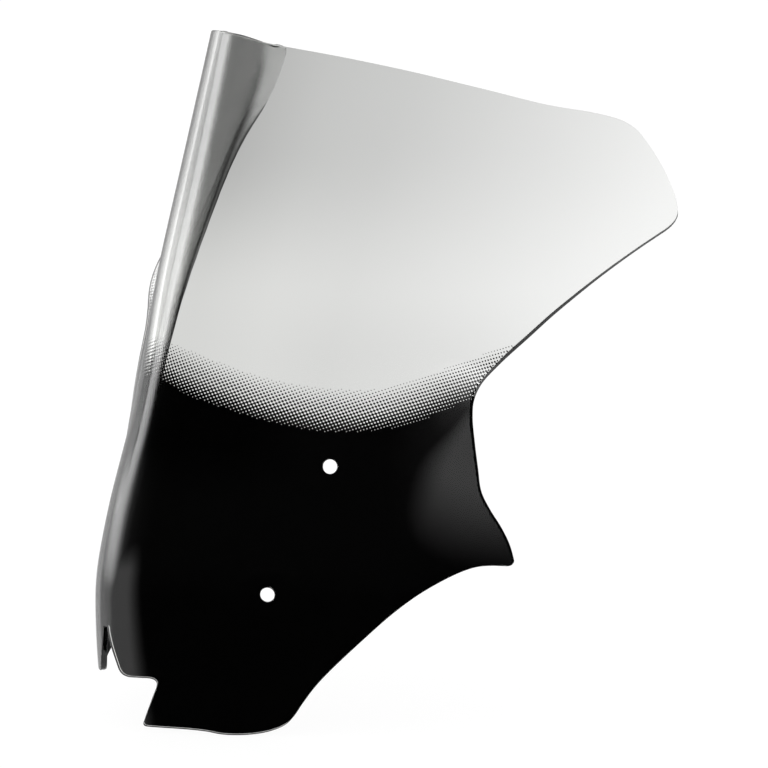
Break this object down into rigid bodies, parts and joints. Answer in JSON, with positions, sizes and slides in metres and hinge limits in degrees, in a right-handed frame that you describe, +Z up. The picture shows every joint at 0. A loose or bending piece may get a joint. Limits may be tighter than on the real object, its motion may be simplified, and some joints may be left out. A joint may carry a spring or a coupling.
{
  "type": "windshield screen",
  "caption": "Swept touring windshield for a motorcycle: one formed clear sheet with a black print that fades upwards in dots.",
  "frame": {"origin": "centre of the formed sheet's bounding box, on the centre plane of the nose", "axes": "+Z up along the screen's height, -Y forward out of the nose, +X from the left to the right half as seen from the front"},
  "size_m": [0.415, 0.2934, 0.4291],
  "materials": {
    "clear_acrylic": "gloss",
    "black_ink": "satin",
    "fade_ink": "satin"
  },
  "bodies": {
    "root": {"screen_sheet": "clear_acrylic", "black_print": "black_ink", "fade_print": "fade_ink"}
  },
  "joints": []
}
